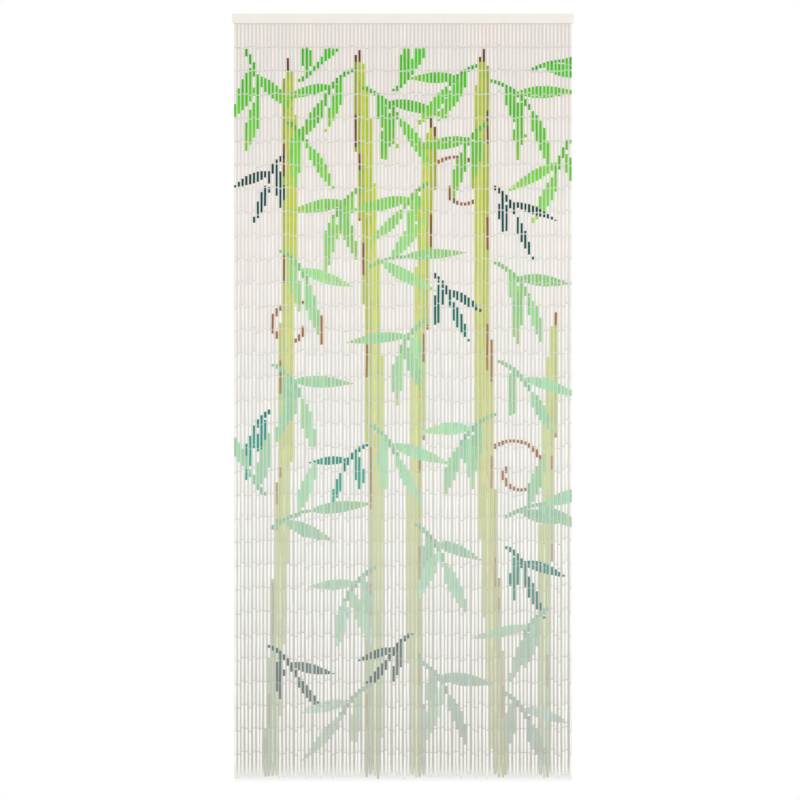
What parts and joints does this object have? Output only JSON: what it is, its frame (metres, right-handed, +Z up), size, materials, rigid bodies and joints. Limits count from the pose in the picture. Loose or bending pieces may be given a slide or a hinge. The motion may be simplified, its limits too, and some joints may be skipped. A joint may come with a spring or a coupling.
{
  "type": "bamboo bead door curtain with hanging batten",
  "caption": "Door curtain of linked painted bamboo tubes in hanging strands under a slim white wooden batten, with a soft printed leaf pattern.",
  "frame": {"origin": "centre of the batten's flat back face, which lies on the wall above the doorway", "axes": "+Z up, +X along the batten, -Y out of the wall towards the viewer; the strands hang towards -Z"},
  "size_m": [0.9, 0.01, 2.0152],
  "materials": {
    "painted_wood": "satin off-white paint on wood",
    "painted_bamboo": "matt off-white paint on bamboo, with a printed pattern of green leaves",
    "link_wire": "steel wire painted off-white with the tubes, rubbed to dull metal where two eyes meet"
  },
  "bodies": {
    "root": {"head_batten": "painted_wood", "strand_row": "painted_bamboo"}
  },
  "joints": []
}
